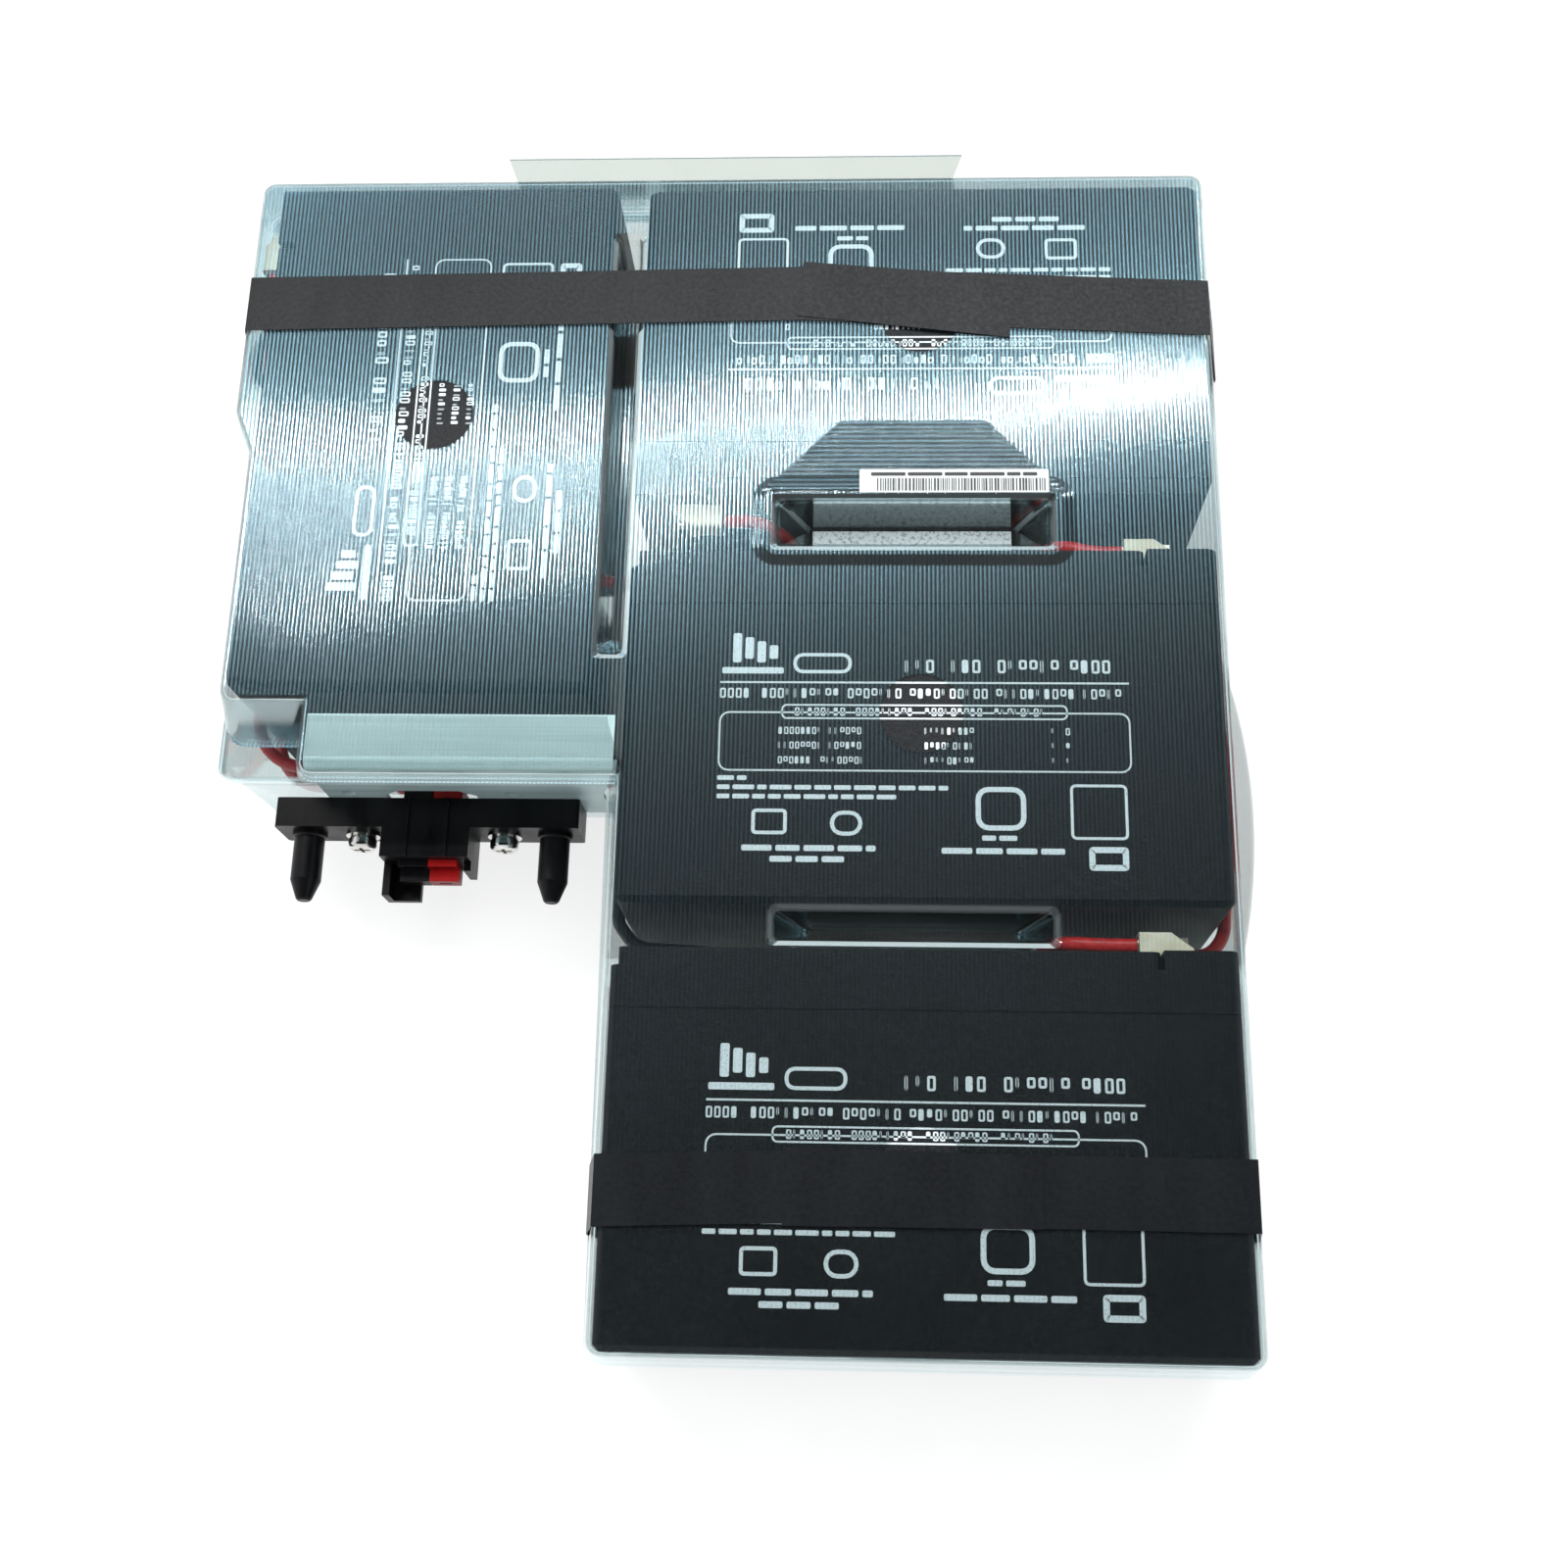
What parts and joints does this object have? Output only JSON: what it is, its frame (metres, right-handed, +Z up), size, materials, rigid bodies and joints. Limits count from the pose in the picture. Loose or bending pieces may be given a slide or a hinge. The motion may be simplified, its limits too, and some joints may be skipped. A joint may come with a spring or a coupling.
{
  "type": "ups battery cartridge",
  "caption": "L-shaped UPS battery cartridge: sealed lead-acid batteries in clear thermoformed shells, with tape straps, a pull flap and a plug with guide pins.",
  "frame": {"origin": "on the rest plane, straight below the middle between the two guide pins, in the plane of the plug carrier's front face", "axes": "+Z up, +Y from the plug towards the rear pull flap, +X towards the column of batteries"},
  "size_m": [0.2761, 0.3226, 0.0669],
  "materials": {
    "case_plastic": "matt",
    "rubber": "matt",
    "lead_plates": "matt",
    "tinned_brass": "satin",
    "natural_nylon": "satin",
    "clear_film": "gloss",
    "zinc_steel": "brushed",
    "black_nylon": "satin",
    "red_nylon": "satin",
    "silver_copper": "satin",
    "nickel_steel": "gloss",
    "red_wire": "satin",
    "black_wire": "satin",
    "strap_tape": "satin",
    "label_paper": "matt"
  },
  "bodies": {
    "root": {"front_battery_case": "case_plastic", "front_battery_lid": "case_plastic", "front_battery_vent_cover": "case_plastic", "front_battery_valve_caps": "rubber", "front_battery_cell_groups": "lead_plates", "front_battery_positive_tab": "tinned_brass", "front_battery_negative_tab": "tinned_brass", "middle_battery_case": "case_plastic", "middle_battery_lid": "case_plastic", "middle_battery_vent_cover": "case_plastic", "middle_battery_valve_caps": "rubber", "middle_battery_cell_groups": "lead_plates", "middle_battery_positive_tab": "tinned_brass", "middle_battery_negative_tab": "tinned_brass", "rear_battery_case": "case_plastic", "rear_battery_lid": "case_plastic", "rear_battery_vent_cover": "case_plastic", "rear_battery_valve_caps": "rubber", "rear_battery_cell_groups": "lead_plates", "rear_battery_positive_tab": "tinned_brass", "rear_battery_negative_tab": "tinned_brass", "side_battery_case": "case_plastic", "side_battery_lid": "case_plastic", "side_battery_vent_cover": "case_plastic", "side_battery_valve_caps": "rubber", "side_battery_cell_groups": "lead_plates", "side_battery_positive_tab": "tinned_brass", "side_battery_negative_tab": "tinned_brass", "receptacles": "tinned_brass", "receptacle_sleeves": "natural_nylon", "upper_blister": "clear_film", "lower_blister": "clear_film", "plug_bracket": "zinc_steel", "plug_carrier": "black_nylon", "negative_plug_housing": "black_nylon", "positive_plug_housing": "red_nylon", "negative_plug_contact": "silver_copper", "positive_plug_contact": "silver_copper", "carrier_screws": "nickel_steel", "carrier_spring_washers": "nickel_steel", "carrier_flat_washers": "nickel_steel", "clinch_nuts": "nickel_steel", "positive_lead": "red_wire", "jumper_side_to_rear": "red_wire", "jumper_rear_to_middle": "red_wire", "jumper_middle_to_front": "red_wire", "negative_lead": "black_wire", "rear_strap": "strap_tape", "front_strap": "strap_tape", "bar_label": "label_paper", "pull_flap": "clear_film"}
  },
  "joints": []
}
